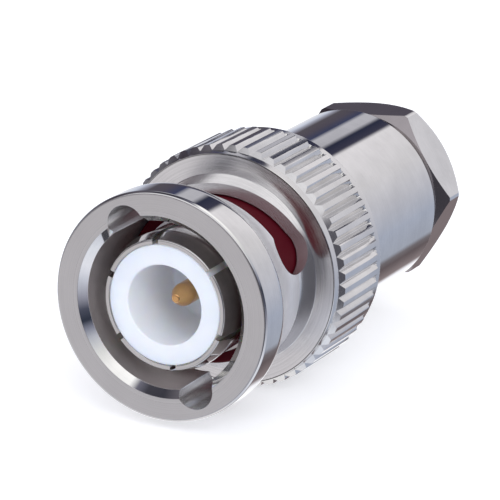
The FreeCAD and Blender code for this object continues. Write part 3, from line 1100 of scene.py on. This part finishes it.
def fade(tree, value, slope, offset):
    """Share between 0 and 1 that follows a value."""
    return maths(tree, "MULTIPLY_ADD", value, slope, offset, clamp=True)


def mixed(tree, share, first, second):
    """Colour between two."""
    return node(tree, "ShaderNodeMix", data_type="RGBA", Factor=share, A=first, B=second)["Result"]


def either_shader(tree, share, first, second):
    """Shader between two."""
    return node(tree, "ShaderNodeMixShader", share, first, second)["Shader"]


def light_the_studio(scene):
    """World of light and dark cards that stand round the plug's axis, as metal mirrors them."""
    world = bpy.data.worlds.new("studio")
    scene.world = world
    world.use_nodes = True
    tree = world.node_tree
    direction = node(tree, "ShaderNodeTexCoord")["Generated"]
    split = node(tree, "ShaderNodeSeparateXYZ", Vector=direction)
    turn = maths(tree, "ARCTAN2", split["Z"], split["X"])
    share = maths(tree, "MULTIPLY_ADD", turn, 1 / (2 * pi), 0.5)
    height = fade(tree, split["Z"], slope=0.5, offset=0.5)
    dark_card = Vector(DARK_CARD_DIRECTION).normalized()
    towards_dark = node(
        tree, "ShaderNodeVectorMath", direction, dark_card, operation="DOT_PRODUCT")["Value"]
    dark = fade(tree, towards_dark, slope=9.0, offset=-7.4)
    front = mixed(tree, dark, ramp(tree, height, FRONT_LIGHT), DARK_CARD_COLOUR)
    towards_side = fade(tree, split["Y"], slope=-4.0, offset=2.4)
    around = mixed(tree, towards_side, ring_ramp(tree, share, STUDIO_CARDS),
                   ring_ramp(tree, share, SIDE_CARDS))
    towards_front = fade(tree, split["Y"], slope=-8.0, offset=-3.8)
    mirrored = tree.nodes["Background"]
    feed(tree, mirrored, Color=mixed(tree, towards_front, around, front))
    soft, white = (
        node(tree, "ShaderNodeBackground", Color=colour)[0] for colour in (SOFT_LIGHT, WHITE))
    ray = node(tree, "ShaderNodeLightPath")
    seen = maths(tree, "MAXIMUM", ray["Is Camera Ray"], ray["Is Transmission Ray"])
    plain = either_shader(tree, seen, soft, white)
    shown = either_shader(tree, ray["Is Glossy Ray"], plain, mirrored.outputs[0])
    feed(tree, tree.nodes["World Output"], Surface=shown)


def pale_floor(level):
    """Wide pale floor that the metal doesn't mirror and the camera sees a little lifted."""
    half, lift = 3.0, 0.36
    corners = ((-half, -half), (half, -half), (half, half), (-half, half))
    floor = mesh_piece("floor", [(x, y, level) for x, y in corners], [[0, 1, 2, 3]])
    pale, tree, shader, _ = new_material("pale_floor")
    ray = node(tree, "ShaderNodeLightPath")
    feed(tree, shader, Base_Color=(0.93, 0.93, 0.94, 1), Roughness=0.9, Specular_IOR_Level=0.1,
         Emission_Color=WHITE,
         Emission_Strength=maths(tree, "MULTIPLY", ray["Is Camera Ray"], lift))
    clear = node(tree, "ShaderNodeBsdfTransparent")["BSDF"]
    shown = either_shader(tree, ray["Is Glossy Ray"], shader.outputs["BSDF"], clear)
    feed(tree, tree.nodes["Material Output"], Surface=shown)
    floor.data.materials.append(pale)
    return floor


class PLUG_OT_stage(bpy.types.Operator):
    """Sets the pale floor, the studio's light, the lamps and the camera."""
    bl_idname = "plug.stage"
    bl_label = "Stage"

    def execute(self, context):
        scene = context.scene
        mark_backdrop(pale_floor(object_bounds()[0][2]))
        light_the_studio(scene)
        for name, place, size, energy, colour in LAMPS:
            data = bpy.data.lights.new(name, "AREA")
            data.size = size
            data.energy = energy
            data.color = colour
            lamp = scene_object(name, data)
            lamp.visible_glossy = False
            lamp.location = place
            lamp.rotation_euler = (LAMPS_AIM - Vector(place)).to_track_quat("-Z", "Y").to_euler()
        data = bpy.data.cameras.new("camera")
        data.sensor_width = 36
        data.sensor_fit = "HORIZONTAL"
        data.lens = CAMERA_LENS
        data.clip_start = 0.01
        camera = scene_object("camera", data)
        camera.location = CAMERA_PLACE
        camera.rotation_euler = (radians(CAMERA_TILT), 0, radians(CAMERA_TURN))
        scene.camera = camera
        scene.view_settings.view_transform = "Standard"
        return {"FINISHED"}


OPERATORS = (
    PLUG_OT_coupling_nut,
    PLUG_OT_body,
    PLUG_OT_contact,
    PLUG_OT_insulator,
    PLUG_OT_pin,
    PLUG_OT_gasket,
    PLUG_OT_clamp_nut,
    PLUG_OT_spring_washers,
    PLUG_OT_inner_pieces,
    PLUG_OT_stage,
)


class PLUG_PT_panel(bpy.types.Panel):
    """Lists the plug's pieces and sizes."""
    bl_idname = "PLUG_PT_panel"
    bl_label = "Bayonet plug"
    bl_space_type = "VIEW_3D"
    bl_region_type = "UI"
    bl_category = "Bayonet plug"

    def draw(self, context):
        for group in (context.scene.plug_sizes, context.scene.plug_colours):
            for name in group.bl_rna.properties.keys():
                if name not in ("rna_type", "name"):
                    self.layout.prop(group, name)
        for operator in OPERATORS:
            self.layout.operator(operator.bl_idname)


CLASSES = (PlugSizes, PlugColours) + OPERATORS + (PLUG_PT_panel,)


def register():
    for added in CLASSES:
        bpy.utils.register_class(added)
    bpy.types.Scene.plug_sizes = PointerProperty(type=PlugSizes)
    bpy.types.Scene.plug_colours = PointerProperty(type=PlugColours)


def unregister():
    del bpy.types.Scene.plug_colours
    del bpy.types.Scene.plug_sizes
    for added in reversed(CLASSES):
        bpy.utils.unregister_class(added)


def main():
    register()
    for operator in OPERATORS:
        group, _, name = operator.bl_idname.partition(".")
        getattr(getattr(bpy.ops, group), name)()


if __name__ == "__main__":
    main()
